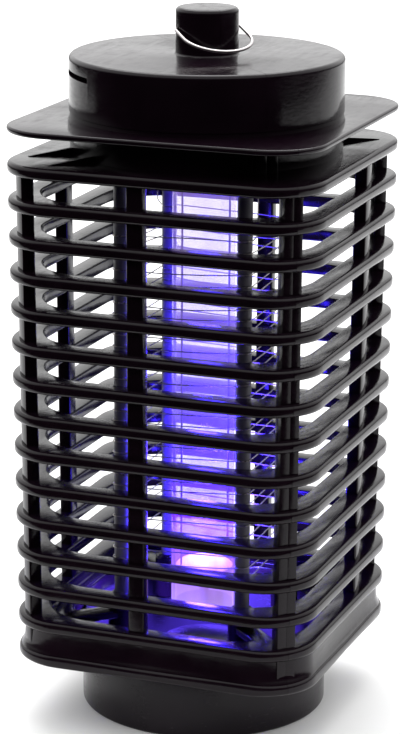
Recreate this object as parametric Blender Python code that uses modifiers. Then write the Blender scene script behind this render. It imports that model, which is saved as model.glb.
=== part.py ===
"""Electric bug zapper: a square lantern with a louvred cage, a round capped head,
a wire hanging bail and a round pull-off tray that is also its foot.

Metres, +Z up. The origin is on the surface that the foot stands on, under the axis.
The faces of the cage look along X and Y. The housing is two moulded halves that meet
on the upright plane through the corners (+X, -Y) and (-X, +Y), and they come apart
along DRAW, the direction from the corner (-X, -Y) to the corner (+X, +Y).
"""
import math

import bmesh
import bpy
from mathutils import Matrix, Vector

# ---- driving dimensions -------------------------------------------------------------
HEIGHT = 0.2650             # foot to the top of the knob
WIDTH = 0.1200              # across the roof plate and the cage flange
GAP = 0.0003                # between pieces that touch

CORNER_RADIUS = 0.0200      # outer corners of the plates and louvres
INNER_CORNER_RADIUS = 0.0240

LOUVRE_COUNT = 13
LOUVRE_PITCH = 0.0131
LOUVRE_THICKNESS = 0.0044
LOUVRE_DEPTH = 0.0080
CAGE_TAPER = 0.0018         # how much each side draws in from flange to base plate
FLANGE_Z = 0.2110           # middle of the flange's thickness

POST_INSET = 0.0026         # post faces stand back from the louvres' edge
POST_DEPTH = 0.0048
POST_WIDTH = 0.0062
SEAM_POST_WIDTH = 0.0088    # both halves of the post on the seam
FRONT_POST_X = -0.0055
LEFT_POST_Y = -0.0055
BACK_POST_X = 0.0045
RIGHT_POST_Y = 0.0170

ROOF_BOTTOM = 0.2238
ROOF_TOP = 0.2260
HEAD_RADIUS = 0.0503
NECK_RADIUS = 0.0500
HEAD_TOP = 0.2480
HEAD_EDGE = 0.0035
HEAD_WALL = 0.0027
KNOB_RADIUS = 0.0115
KNOB_EDGE = 0.0010
KNOB_BORE = 0.0088

BASE_OPENING = 0.0463       # half width of the hole over the tray
BASE_OPENING_CORNER = 0.0360
BASE_FLOOR_TOP = 0.0365
FLANGE_HOLE = 0.0440
CAVITY_BOTTOM = 0.2128

TRAY_RADIUS = 0.0463
TRAY_SPIGOT_RADIUS = 0.0455
TRAY_INNER_RADIUS = 0.0435
TRAY_SPIGOT_TOP = 0.0340
TRAY_FLOOR = 0.0030
TRAY_EDGE = 0.0012
TRAY_HUB_RADIUS = 0.0165
TRAY_HUB_TOP = 0.0220
TRAY_HUB_WALL = 0.0025

BAIL_WIRE_RADIUS = 0.0006
BAIL_PIVOT_Z = 0.2575
BAIL_REACH = 0.0215
BAIL_DROOP = math.radians(16.0)
BAIL_HALF_WIDTH = 0.0128

PILLAR_OFFSET = 0.0240      # each pillar's x and y
PILLAR_RADIUS = 0.0028
PILLAR_BOTTOM = 0.0310
PILLAR_TOP = 0.2170
BOSS_RADIUS = 0.0052
BOSS_BOTTOM = 0.0290
BOSS_TOP = 0.0460
FRAME_BOTTOM = BASE_FLOOR_TOP + GAP
FRAME_TOP = 0.0383

DECK_RADIUS = 0.0472
DECK_BOTTOM = CAVITY_BOTTOM + GAP
DECK_TOP = 0.0025 + DECK_BOTTOM

WIRE_RADIUS = 0.00022
WIRE_PITCH = 0.0082
WIRE_TURNS = 16
WIRE_FIRST_Z = 0.0560

TUBE_RADIUS = 0.0125
TUBE_WALL = 0.0015
TUBE_BOTTOM = 0.0345
TUBE_TOP = 0.2200
LED_BOARD_Z = 0.0500
LED_BOARD_RADIUS = 0.0105
LED_LENS_RADIUS = 0.0082
LEAD_RADIUS = 0.0004
LEAD_PLACE = 0.0096
LEAD_STAND_OFF = 0.0048     # from a pillar's axis to the grid wire's rising end

BOARD_Z = 0.2260
BOARD_THICKNESS = 0.0016
BOARD_RADIUS = 0.0350
STANDOFF_PLACE = 0.0260
STANDOFF_RADIUS = 0.0030
SCREW_RADIUS = 0.0012
SCREW_HEAD_RADIUS = 0.0025
SCREW_HEAD_HEIGHT = 0.0018

SEAM_SCREW_TOP_Z = 0.2215
SEAM_SCREW_TOP_OFFSET = 0.0360
SEAM_SCREW_BASE_Z = 0.0320
SEAM_SCREW_BASE_OFFSET = 0.0600
SEAM_SCREW_RADIUS = 0.0013
SEAM_BOSS_RADIUS = 0.0040

BUSH_Z = 0.2360
VENT_Z = 0.2420
VENT_HEIGHT = 0.0020
VENT_START = math.radians(203)
VENT_END = math.radians(233)

HEAD_STEPS = 44
SMALL_STEPS = 24
CORNER_STEPS = 4
MERGE = 0.00001

DRAW = Vector((1, 1, 0)).normalized()
SEAM = Vector((1, -1, 0)).normalized()      # towards the near corner
UP = Vector((0, 0, 1))


# ---- scene, collections, materials --------------------------------------------------
def clear_scene():
    for thing in list(bpy.data.objects):
        bpy.data.objects.remove(thing, do_unlink=True)


def new_collection(name):
    collection = bpy.data.collections.new(name)
    bpy.context.scene.collection.children.link(collection)
    return collection


def make_material(name, colour, roughness, metallic=0.0, transmission=0.0, glow=0.0):
    material = bpy.data.materials.new(name)
    material.use_nodes = True
    shader = material.node_tree.nodes["Principled BSDF"]
    shader.inputs["Base Color"].default_value = (*colour, 1.0)
    shader.inputs["Roughness"].default_value = roughness
    shader.inputs["Metallic"].default_value = metallic
    shader.inputs["Transmission Weight"].default_value = transmission
    shader.inputs["Emission Color"].default_value = (*colour, 1.0)
    shader.inputs["Emission Strength"].default_value = glow
    material.diffuse_color = (*colour, 1.0)
    return material


clear_scene()
PARTS = new_collection("bug_zapper")
TOOLS = new_collection("cutters")

BLACK_SHELL = make_material("black_shell", (0.012, 0.011, 0.013), 0.2)
GREY_CERAMIC = make_material("grey_insulator", (0.17, 0.16, 0.17), 0.45)
STEEL_WIRE = make_material("steel_wire", (0.45, 0.43, 0.42), 0.3, metallic=1.0)
CLEAR_TUBE = make_material("clear_tube", (0.85, 0.82, 0.95), 0.05, transmission=0.9)
LAMP_GLOW = make_material("lamp_glow", (0.45, 0.20, 1.0), 0.3, glow=6.0)
GREEN_BOARD = make_material("circuit_board", (0.02, 0.12, 0.05), 0.5)
COMPONENT = make_material("component_body", (0.45, 0.12, 0.05), 0.4)
RUBBER = make_material("rubber", (0.015, 0.015, 0.015), 0.7)
SCREW_STEEL = make_material("screw_steel", (0.55, 0.55, 0.56), 0.35, metallic=1.0)


# ---- shapes -------------------------------------------------------------------------
def add_object(name, mesh, collection=None, matrix=None):
    thing = bpy.data.objects.new(name, mesh)
    (collection or TOOLS).objects.link(thing)
    if matrix is not None:
        thing.matrix_world = matrix
    if collection is not PARTS:
        thing.hide_render = True
        thing.display_type = "WIRE"
    return thing


def finish_part(thing, name, material, sharp_degrees=35):
    """Move a shape into the parts, with its name, material and shading."""
    for collection in list(thing.users_collection):
        collection.objects.unlink(thing)
    PARTS.objects.link(thing)
    thing.name = name
    thing.hide_render = False
    thing.display_type = "TEXTURED"
    thing.data.materials.clear()
    thing.data.materials.append(material)
    thing.data.shade_smooth()
    thing.data.set_sharp_from_angle(angle=math.radians(sharp_degrees))
    return thing


def evaluated_mesh(thing):
    """The object's final mesh, with its loose caps welded, as new mesh data."""
    graph = bpy.context.evaluated_depsgraph_get()
    mesh = bpy.data.meshes.new_from_object(thing.evaluated_get(graph))
    work = bmesh.new()
    work.from_mesh(mesh)
    bmesh.ops.remove_doubles(work, verts=work.verts, dist=MERGE)
    work.to_mesh(mesh)
    work.free()
    return mesh


def settle(thing):
    """Replace an object with a plain mesh of what its modifiers or curve make."""
    mesh = evaluated_mesh(thing)
    settled = add_object(thing.name + "_solid", mesh, matrix=thing.matrix_world.copy())
    bpy.data.objects.remove(thing, do_unlink=True)
    return settled


def rounded_square(half, radius, steps=CORNER_STEPS):
    """Corner points of a square with round corners, anticlockwise."""
    points = []
    for quarter in range(4):
        middle = math.pi / 4 + quarter * math.pi / 2
        x = math.copysign(half - radius, math.cos(middle))
        y = math.copysign(half - radius, math.sin(middle))
        for step in range(steps + 1):
            angle = (quarter + step / steps) * math.pi / 2
            points.append((x + radius * math.cos(angle), y + radius * math.sin(angle)))
    return points


def circle(radius, steps=HEAD_STEPS, centre=(0, 0)):
    turn = 2 * math.pi / steps
    return [(centre[0] + radius * math.cos(turn * k), centre[1] + radius * math.sin(turn * k))
            for k in range(steps)]


def plate(name, outlines, bottom, top):
    """A flat plate: the first outline is its edge, the others are holes in it."""
    curve = bpy.data.curves.new(name, "CURVE")
    curve.dimensions = "2D"
    curve.fill_mode = "BOTH"
    curve.extrude = (top - bottom) / 2
    for outline in outlines:
        spline = curve.splines.new("POLY")
        spline.points.add(len(outline) - 1)
        for point, (x, y) in zip(spline.points, outline):
            point.co = (x, y, 0, 1)
        spline.use_cyclic_u = True
    thing = add_object(name, curve)
    thing.location.z = (top + bottom) / 2
    bpy.context.view_layer.update()
    return settle(thing)


def box(name, size, centre, turn=0.0):
    """A box whose own x axis is turned by an angle about Z."""
    mesh = bpy.data.meshes.new(name)
    work = bmesh.new()
    bmesh.ops.create_cube(work, size=1.0)
    bmesh.ops.scale(work, vec=size, verts=work.verts)
    work.to_mesh(mesh)
    work.free()
    matrix = Matrix.Translation(centre) @ Matrix.Rotation(turn, 4, "Z")
    return add_object(name, mesh, matrix=matrix)


def along(start, axis):
    """Place whose own Z axis points along an axis."""
    return Matrix.Translation(start) @ axis.to_track_quat("Z", "Y").to_matrix().to_4x4()


def rod(name, radius, start, axis, length, steps=SMALL_STEPS):
    mesh = bpy.data.meshes.new(name)
    work = bmesh.new()
    bmesh.ops.create_cone(work, cap_ends=True, segments=steps, radius1=radius,
                          radius2=radius, depth=length)
    bmesh.ops.translate(work, vec=(0, 0, length / 2), verts=work.verts)
    work.to_mesh(mesh)
    work.free()
    return add_object(name, mesh, matrix=along(start, axis))


def turned(name, profile, steps=HEAD_STEPS, matrix=None, closed=False):
    """Turn a profile of (radius, height) points, listed down its outer side, about Z."""
    mesh = bpy.data.meshes.new(name)
    points = [(radius, 0, height) for radius, height in profile]
    edges = [(k, k + 1) for k in range(len(points) - 1)]
    if closed:
        edges.append((len(points) - 1, 0))
    mesh.from_pydata(points, edges, [])
    thing = add_object(name, mesh, matrix=matrix or Matrix.Identity(4))
    screw = thing.modifiers.new("turn", "SCREW")
    screw.axis = "Z"
    screw.angle = 2 * math.pi
    screw.steps = steps
    screw.render_steps = steps
    screw.use_merge_vertices = True
    screw.merge_threshold = MERGE
    bpy.context.view_layer.update()
    return settle(thing)


def edge_arc(centre, radius, start, end, steps=3):
    """Points of an arc in a profile, from one angle in degrees to another."""
    points = []
    for step in range(steps + 1):
        angle = math.radians(start + (end - start) * step / steps)
        points.append((centre[0] + radius * math.cos(angle),
                       centre[1] + radius * math.sin(angle)))
    return points


def wire(name, points, radius, resolution=2):
    curve = bpy.data.curves.new(name, "CURVE")
    curve.dimensions = "3D"
    curve.bevel_depth = radius
    curve.bevel_resolution = resolution
    curve.use_fill_caps = True
    spline = curve.splines.new("POLY")
    spline.points.add(len(points) - 1)
    for point, place in zip(spline.points, points):
        point.co = (*place, 1)
    thing = add_object(name, curve)
    bpy.context.view_layer.update()
    return settle(thing)


def combine(thing, others, operation):
    """Join or cut a solid with others, and keep the result as its own mesh."""
    tools = bpy.data.collections.new("tools_of_" + thing.name)
    TOOLS.children.link(tools)
    for other in others:
        for collection in list(other.users_collection):
            collection.objects.unlink(other)
        tools.objects.link(other)
    modifier = thing.modifiers.new(operation.lower(), "BOOLEAN")
    modifier.operation = operation
    modifier.solver = "EXACT"
    modifier.operand_type = "COLLECTION"
    modifier.collection = tools
    bpy.context.view_layer.update()
    result = settle(thing)
    for other in others:
        bpy.data.objects.remove(other, do_unlink=True)
    bpy.data.collections.remove(tools)
    return result


# ---- the housing --------------------------------------------------------------------
def level_z(level):
    """Middle height of a plate of the cage: 0 is the flange, then the louvres."""
    return FLANGE_Z - level * LOUVRE_PITCH


def level_half(level):
    """Half width of that plate."""
    return WIDTH / 2 - CAGE_TAPER * level / (LOUVRE_COUNT + 1)


def cage_plate(level, hole):
    middle = level_z(level)
    edge = rounded_square(level_half(level), CORNER_RADIUS)
    return plate(f"level_{level}", [edge, hole], middle - LOUVRE_THICKNESS / 2,
                 middle + LOUVRE_THICKNESS / 2)


def cage_louvres():
    louvres = []
    for level in range(1, LOUVRE_COUNT + 1):
        hole = rounded_square(level_half(level) - LOUVRE_DEPTH, INNER_CORNER_RADIUS)
        louvres.append(cage_plate(level, hole))
    return louvres


def cage_posts():
    """Eight upright posts, leaning in with the cage's taper."""
    top = FLANGE_Z
    bottom = level_z(LOUVRE_COUNT + 1)
    middle = (top + bottom) / 2
    half = level_half((LOUVRE_COUNT + 1) / 2)
    lean = math.atan2(CAGE_TAPER, top - bottom)
    reach = half - POST_INSET - POST_DEPTH / 2
    corner_reach = (half - CORNER_RADIUS) * math.sqrt(2) + CORNER_RADIUS
    corner_reach -= POST_INSET + POST_DEPTH / 2
    places = [((FRONT_POST_X, -reach), POST_WIDTH), ((-reach, LEFT_POST_Y), POST_WIDTH),
              ((BACK_POST_X, reach), POST_WIDTH), ((reach, RIGHT_POST_Y), POST_WIDTH)]
    for direction, width in ((-DRAW, POST_WIDTH), (DRAW, POST_WIDTH),
                             (SEAM, SEAM_POST_WIDTH), (-SEAM, SEAM_POST_WIDTH)):
        places.append(((direction.x * corner_reach, direction.y * corner_reach), width))
    posts = []
    for index, ((x, y), width) in enumerate(places):
        if index < 4:
            outward = math.atan2(round(y / reach), round(x / reach))
        else:
            outward = math.atan2(y, x)
        post = box(f"post_{index}", (POST_DEPTH, width, top - bottom), (x, y, middle))
        post.matrix_world = (Matrix.Translation((x, y, middle))
                             @ Matrix.Rotation(outward, 4, "Z")
                             @ Matrix.Rotation(lean, 4, "Y"))
        posts.append(post)
    return posts


def base_block():
    """The floor round the tray's opening, and the low wall under the last louvre."""
    half = level_half(LOUVRE_COUNT + 1)
    opening = rounded_square(BASE_OPENING, BASE_OPENING_CORNER)
    bottom_plate = cage_plate(LOUVRE_COUNT + 1, opening)
    inside_plate = level_z(LOUVRE_COUNT + 1)
    wall_edge = rounded_square(half - POST_INSET, CORNER_RADIUS - POST_INSET)
    wall_inside = rounded_square(half - LOUVRE_DEPTH + 0.0010, INNER_CORNER_RADIUS - 0.002)
    wall = plate("base_wall", [wall_edge, wall_inside], inside_plate,
                 level_z(LOUVRE_COUNT) - 0.0008)
    floor_edge = rounded_square(half - POST_INSET - 0.0010, CORNER_RADIUS - POST_INSET)
    floor_hole = rounded_square(BASE_OPENING + 0.0002, BASE_OPENING_CORNER)
    floor = plate("base_floor", [floor_edge, floor_hole], inside_plate - 0.0004,
                  BASE_FLOOR_TOP)
    return [bottom_plate, wall, floor]


def head_solid():
    """Neck, cap and knob, turned in one piece."""
    profile = [(0, HEIGHT)]
    profile += edge_arc((KNOB_RADIUS - KNOB_EDGE, HEIGHT - KNOB_EDGE), KNOB_EDGE, 90, 0, 2)
    profile.append((KNOB_RADIUS, HEAD_TOP))
    profile += edge_arc((HEAD_RADIUS - HEAD_EDGE, HEAD_TOP - HEAD_EDGE), HEAD_EDGE, 90, 0)
    step_down = (ROOF_TOP + ROOF_BOTTOM) / 2
    profile += [(HEAD_RADIUS, step_down), (NECK_RADIUS, step_down - 0.0001),
                (NECK_RADIUS, FLANGE_Z), (0, FLANGE_Z)]
    return turned("head", profile)


def head_cavity():
    roof = HEAD_TOP - HEAD_WALL
    inside = HEAD_RADIUS - HEAD_WALL
    profile = [(0, HEIGHT - HEAD_WALL), (KNOB_BORE, HEIGHT - HEAD_WALL), (KNOB_BORE, roof),
               (inside - HEAD_EDGE + 0.001, roof), (inside, roof - HEAD_EDGE + 0.001),
               (inside, CAVITY_BOTTOM), (0, CAVITY_BOTTOM)]
    return turned("cavity", profile)


def gusset_ribs():
    """Low triangular webs from the flange's corners up to the neck."""
    ribs = []
    rise = 0.0022
    thickness = 0.0012
    for side in (-1, 1):
        for offset in (-0.0095, 0.0095):
            mesh = bpy.data.meshes.new("rib")
            work = bmesh.new()
            outer = [(0.0660, FLANGE_Z), (0.0660, FLANGE_Z + LOUVRE_THICKNESS / 2 + 0.0002),
                     (0.0480, FLANGE_Z + LOUVRE_THICKNESS / 2 + rise), (0.0480, FLANGE_Z)]
            verts = [work.verts.new((x, -thickness / 2, z)) for x, z in outer]
            face = work.faces.new(verts)
            swept = bmesh.ops.extrude_face_region(work, geom=[face])
            moved = [v for v in swept["geom"] if isinstance(v, bmesh.types.BMVert)]
            bmesh.ops.translate(work, vec=(0, thickness, 0), verts=moved)
            bmesh.ops.recalc_face_normals(work, faces=work.faces)
            work.to_mesh(mesh)
            work.free()
            turn = math.atan2(side * DRAW.y, side * DRAW.x)
            matrix = Matrix.Translation(SEAM * offset) @ Matrix.Rotation(turn, 4, "Z")
            ribs.append(add_object("rib", mesh, matrix=matrix))
    return ribs


def vent_cutter():
    """A slot that follows the head's side."""
    steps = 6
    angles = [VENT_START + (VENT_END - VENT_START) * k / steps for k in range(steps + 1)]
    outer = [(0.06 * math.cos(a), 0.06 * math.sin(a)) for a in angles]
    inner = [(0.04 * math.cos(a), 0.04 * math.sin(a)) for a in reversed(angles)]
    return plate("vent", [outer + inner], VENT_Z - VENT_HEIGHT / 2, VENT_Z + VENT_HEIGHT / 2)


def seam_screw_places():
    """Axis point on the seam, counterbore start and outside, for both seam screws."""
    top = -SEAM * SEAM_SCREW_TOP_OFFSET + UP * SEAM_SCREW_TOP_Z
    base = -SEAM * SEAM_SCREW_BASE_OFFSET + UP * SEAM_SCREW_BASE_Z
    return [("seam_screw_top", top, 0.0100), ("seam_screw_base", base, 0.0080)]


def seam_bosses():
    """The head's bosses for its seam screw, one in each half, as one rod."""
    start = -SEAM * SEAM_SCREW_TOP_OFFSET + UP * SEAM_SCREW_TOP_Z - DRAW * 0.0325
    return [rod("seam_boss", SEAM_BOSS_RADIUS, start, DRAW, 0.0650)]


def housing_cutters():
    hole = rod("flange_hole", FLANGE_HOLE, UP * 0.2050, UP, 0.0090, HEAD_STEPS)
    bail_holes = rod("bail_holes", BAIL_WIRE_RADIUS + GAP, UP * BAIL_PIVOT_Z - DRAW * 0.02,
                     DRAW, 0.04, 12)
    bush_hole = rod("bush_hole", 0.0045, UP * BUSH_Z - SEAM * 0.0440, -SEAM, 0.0100)
    cutters = [hole, bail_holes, bush_hole, vent_cutter()]
    for name, place, seat in seam_screw_places():
        cutters.append(rod(name + "_bore", SEAM_SCREW_RADIUS + GAP, place - DRAW * 0.0100,
                           DRAW, 0.0200, 12))
        cutters.append(rod(name + "_seat", SCREW_HEAD_RADIUS + 2 * GAP, place + DRAW * seat,
                           DRAW, 0.0400, 16))
    return cutters


def build_housing():
    head = head_solid()
    flange = plate("flange", [rounded_square(WIDTH / 2, CORNER_RADIUS)],
                   FLANGE_Z - LOUVRE_THICKNESS / 2, FLANGE_Z + LOUVRE_THICKNESS / 2)
    roof = plate("roof", [rounded_square(WIDTH / 2, CORNER_RADIUS)], ROOF_BOTTOM, ROOF_TOP)
    pieces = cage_louvres() + cage_posts() + base_block() + gusset_ribs() + [flange, roof]
    housing = combine(head, pieces, "UNION")
    housing = combine(housing, [head_cavity()], "DIFFERENCE")
    housing = combine(housing, seam_bosses(), "UNION")
    housing = combine(housing, housing_cutters(), "DIFFERENCE")
    for name, side in (("left_shell", -1), ("right_shell", 1)):
        half = add_object(name + "_whole", housing.data.copy(), matrix=housing.matrix_world)
        size = 0.4
        middle = DRAW * side * (size / 2 + GAP / 2) + UP * (HEIGHT / 2)
        keep = box("keep", (size, size, size), middle, math.pi / 4)
        half = combine(half, [keep], "INTERSECT")
        finish_part(half, name, BLACK_SHELL)
    bpy.data.objects.remove(housing, do_unlink=True)


# ---- bail and tray ------------------------------------------------------------------
def build_bail():
    """A wire loop whose ends turn in through the knob's wall."""
    inside = KNOB_RADIUS - 0.0040
    lean = SEAM * math.cos(BAIL_DROOP) - UP * math.sin(BAIL_DROOP)
    pivot = UP * BAIL_PIVOT_Z
    bend = BAIL_HALF_WIDTH
    arc_steps = 14
    points = [pivot - DRAW * inside, pivot - DRAW * (bend - 0.0012),
              pivot - DRAW * bend + lean * 0.0012]
    straight = BAIL_REACH - bend
    for step in range(arc_steps + 1):
        angle = math.pi * step / arc_steps
        points.append(pivot - DRAW * bend * math.cos(angle)
                      + lean * (straight + bend * math.sin(angle)))
    points += [pivot + DRAW * bend + lean * 0.0012, pivot + DRAW * (bend - 0.0012),
               pivot + DRAW * inside]
    bail = wire("bail", points, BAIL_WIRE_RADIUS)
    finish_part(bail, "bail", STEEL_WIRE, 60)


def build_tray():
    """Foot and insect tray in one cup, with a spigot and a raised middle."""
    shoulder = level_z(LOUVRE_COUNT + 1) - LOUVRE_THICKNESS / 2 - GAP
    hub_inside = TRAY_HUB_RADIUS - TRAY_HUB_WALL
    profile = [(0, TRAY_HUB_TOP), (TRAY_HUB_RADIUS - 0.0010, TRAY_HUB_TOP),
               (TRAY_HUB_RADIUS, TRAY_HUB_TOP - 0.0010), (TRAY_HUB_RADIUS, TRAY_FLOOR),
               (TRAY_INNER_RADIUS, TRAY_FLOOR), (TRAY_INNER_RADIUS, TRAY_SPIGOT_TOP),
               (TRAY_SPIGOT_RADIUS, TRAY_SPIGOT_TOP), (TRAY_SPIGOT_RADIUS, shoulder),
               (TRAY_RADIUS, shoulder)]
    profile += edge_arc((TRAY_RADIUS - TRAY_EDGE, TRAY_EDGE), TRAY_EDGE, 0, -90, 2)
    profile += [(hub_inside, 0), (hub_inside, TRAY_HUB_TOP - TRAY_HUB_WALL),
                (0, TRAY_HUB_TOP - TRAY_HUB_WALL)]
    finish_part(turned("tray", profile), "tray", BLACK_SHELL)


# ---- the high-voltage grid ----------------------------------------------------------
PILLAR_NAMES = {"pillar_near": SEAM, "pillar_far": -SEAM, "pillar_left": -DRAW,
                "pillar_right": DRAW}


def pillar_place(direction):
    return direction * PILLAR_OFFSET * math.sqrt(2)


def build_grid_base():
    """A frame on the base floor whose four arms carry the pillars' bosses."""
    frame = plate("grid_frame", [rounded_square(0.0502, 0.0300),
                                 rounded_square(BASE_OPENING + 0.0006, BASE_OPENING_CORNER)],
                  FRAME_BOTTOM, FRAME_TOP)
    extras = []
    sockets = []
    arm_start = 0.0340
    arm_end = 0.0545
    for direction in PILLAR_NAMES.values():
        middle = direction * (arm_start + arm_end) / 2 + UP * (FRAME_BOTTOM + 0.0015)
        extras.append(box("arm", (arm_end - arm_start, 0.0080, 0.0029), middle,
                          math.atan2(direction.y, direction.x)))
        place = pillar_place(direction)
        extras.append(rod("boss", BOSS_RADIUS, place + UP * BOSS_BOTTOM, UP,
                          BOSS_TOP - BOSS_BOTTOM))
        sockets.append(rod("socket", PILLAR_RADIUS + GAP, place + UP * (PILLAR_BOTTOM - GAP),
                           UP, 0.0200))
    base = combine(frame, extras, "UNION")
    base = combine(base, sockets, "DIFFERENCE")
    finish_part(base, "grid_base", BLACK_SHELL)


def build_pillars():
    for name, direction in PILLAR_NAMES.items():
        pillar = rod(name, PILLAR_RADIUS, pillar_place(direction) + UP * PILLAR_BOTTOM, UP,
                     PILLAR_TOP - PILLAR_BOTTOM, 20)
        finish_part(pillar, name, GREY_CERAMIC)


def grid_wire_points():
    """One wire wound round the pillars, rising a pitch a turn, then up to the deck."""
    wrap = PILLAR_RADIUS + GAP + WIRE_RADIUS
    corner_steps = 2
    points = []
    quarters = 4 * WIRE_TURNS
    for quarter in range(quarters):
        middle = math.pi / 4 + quarter * math.pi / 2
        pillar = Vector((math.cos(middle), math.sin(middle), 0)) * PILLAR_OFFSET * math.sqrt(2)
        for step in range(corner_steps + 1):
            angle = middle + (step / corner_steps - 0.5) * math.pi / 2
            share = (quarter + step / corner_steps * 0.12) / 4
            height = WIRE_FIRST_Z + WIRE_PITCH * share
            ring = Vector((math.cos(angle), math.sin(angle), 0)) * wrap
            points.append(pillar + ring + UP * height)
    pillar = Vector((PILLAR_OFFSET, -PILLAR_OFFSET, 0))
    lead = pillar + (points[-1] - pillar).to_2d().normalized().to_3d() * LEAD_STAND_OFF
    points.append(lead + UP * (points[-1].z + 0.0020))
    points.append(lead + UP * (DECK_TOP + 0.0010))
    return points


def lead_hole_place():
    """Where both wires' last stretch rises, seen from above."""
    return grid_wire_points()[-1]


def build_grid_wires():
    live = wire("grid_wire_live", grid_wire_points(), WIRE_RADIUS, 0)
    finish_part(live, "grid_wire_live", STEEL_WIRE, 60)
    points = [Matrix.Rotation(math.pi, 4, "Z") @ p for p in grid_wire_points()]
    neutral = wire("grid_wire_neutral", points, WIRE_RADIUS, 0)
    finish_part(neutral, "grid_wire_neutral", STEEL_WIRE, 60)


def build_deck():
    """Partition that carries pillars, lamp tube and circuit board."""
    holes = [circle(TUBE_RADIUS + 0.0004, 32)]
    for direction in PILLAR_NAMES.values():
        place = pillar_place(direction)
        holes.append(circle(PILLAR_RADIUS + GAP, 20, (place.x, place.y)))
    lead = lead_hole_place()
    for sign in (1, -1):
        holes.append(circle(WIRE_RADIUS + 0.0005, 10, (sign * lead.x, sign * lead.y)))
    deck = plate("top_deck", [circle(DECK_RADIUS)] + holes, DECK_BOTTOM, DECK_TOP)
    finish_part(deck, "top_deck", BLACK_SHELL)


# ---- the lamp -----------------------------------------------------------------------
def ring_profile(inner, outer, bottom, top):
    return [(outer, top), (outer, bottom), (inner, bottom), (inner, top)]


def build_lamp():
    inner = TUBE_RADIUS - TUBE_WALL
    tube = turned("lamp_tube", ring_profile(inner, TUBE_RADIUS, TUBE_BOTTOM, TUBE_TOP), 32,
                  closed=True)
    finish_part(tube, "lamp_tube", CLEAR_TUBE)
    collar_bottom = DECK_TOP + GAP
    collar = turned("lamp_collar", ring_profile(TUBE_RADIUS + GAP, 0.0165, collar_bottom,
                                                collar_bottom + 0.0055), 32, closed=True)
    finish_part(collar, "lamp_collar", RUBBER)
    plug = rod("tube_plug", inner - GAP, UP * (TUBE_BOTTOM + 0.0005), UP, 0.0030)
    finish_part(plug, "tube_plug", BLACK_SHELL)
    stem_bottom = TUBE_BOTTOM + 0.0035 + GAP
    stem = rod("led_stem", 0.0018, UP * stem_bottom, UP, LED_BOARD_Z - GAP - stem_bottom, 12)
    finish_part(stem, "led_stem", BLACK_SHELL)
    board_top = LED_BOARD_Z + BOARD_THICKNESS
    board = rod("led_board", LED_BOARD_RADIUS, UP * LED_BOARD_Z, UP, BOARD_THICKNESS)
    finish_part(board, "led_board", GREEN_BOARD)
    lens_bottom = board_top + GAP
    dome = 0.0030
    profile = [(0, lens_bottom + dome)]
    for step in range(1, 4):
        angle = math.pi / 2 * (1 - step / 3)
        profile.append((LED_LENS_RADIUS * math.cos(angle), lens_bottom + dome * math.sin(angle)))
    profile.append((0, lens_bottom))
    finish_part(turned("led_lens", profile, SMALL_STEPS), "led_lens", LAMP_GLOW)
    for name, sign in (("led_lead_live", -1), ("led_lead_neutral", 1)):
        lead = rod(name, LEAD_RADIUS, DRAW * sign * LEAD_PLACE + UP * (board_top + GAP), UP,
                   TUBE_TOP - board_top - 0.002, 8)
        finish_part(lead, name, STEEL_WIRE)


# ---- electronics in the head --------------------------------------------------------
def standoff_places():
    return [Vector((STANDOFF_PLACE * math.cos(k * math.pi / 2),
                    STANDOFF_PLACE * math.sin(k * math.pi / 2), 0)) for k in range(4)]


def screw_mesh(name, matrix, shank_radius, length):
    """A pan-head screw along its own Z, with the underside of its head at zero."""
    profile = [(0, SCREW_HEAD_HEIGHT), (SCREW_HEAD_RADIUS * 0.7, SCREW_HEAD_HEIGHT),
               (SCREW_HEAD_RADIUS, SCREW_HEAD_HEIGHT * 0.45), (SCREW_HEAD_RADIUS, 0),
               (shank_radius, 0), (shank_radius, -length + 0.001), (0, -length)]
    return turned(name, profile, 16, matrix)


def build_circuit_board():
    holes = [circle(SCREW_RADIUS + GAP, 12, (place.x, place.y)) for place in standoff_places()]
    top = BOARD_Z + BOARD_THICKNESS
    board = plate("circuit_board", [circle(BOARD_RADIUS, 40)] + holes, BOARD_Z, top)
    finish_part(board, "circuit_board", GREEN_BOARD)
    bottom = DECK_TOP + GAP
    bore_depth = 0.0070
    for number, place in enumerate(standoff_places(), 1):
        bore = SCREW_RADIUS + GAP
        roof = BOARD_Z - GAP
        profile = [(0, roof - bore_depth), (bore, roof - bore_depth), (bore, roof),
                   (STANDOFF_RADIUS, roof), (STANDOFF_RADIUS, bottom), (0, bottom)]
        standoff = turned(f"standoff_{number}", profile, 16, Matrix.Translation(place))
        finish_part(standoff, f"standoff_{number}", BLACK_SHELL)
        seat = Matrix.Translation(place + UP * (top + GAP))
        screw = screw_mesh(f"board_screw_{number}", seat, SCREW_RADIUS, 0.0065)
        finish_part(screw, f"board_screw_{number}", SCREW_STEEL)


def rounded_block(name, size, centre, material, bevel=0.0008):
    block = box(name, size, centre)
    edges = block.modifiers.new("edges", "BEVEL")
    edges.width = bevel
    edges.segments = 1
    bpy.context.view_layer.update()
    finish_part(settle(block), name, material)


def axial_component(name, centre, axis, body_radius, body_length, lead_length, material):
    """A round component with a straight lead at each end."""
    half = body_length / 2
    tip = half + lead_length
    lead = LEAD_RADIUS
    profile = [(0, tip), (lead, tip), (lead, half), (body_radius * 0.8, half),
               (body_radius, half - 0.0006), (body_radius, -half + 0.0006),
               (body_radius * 0.8, -half), (lead, -half), (lead, -tip), (0, -tip)]
    finish_part(turned(name, profile, 12, along(centre, axis)), name, material)


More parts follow.
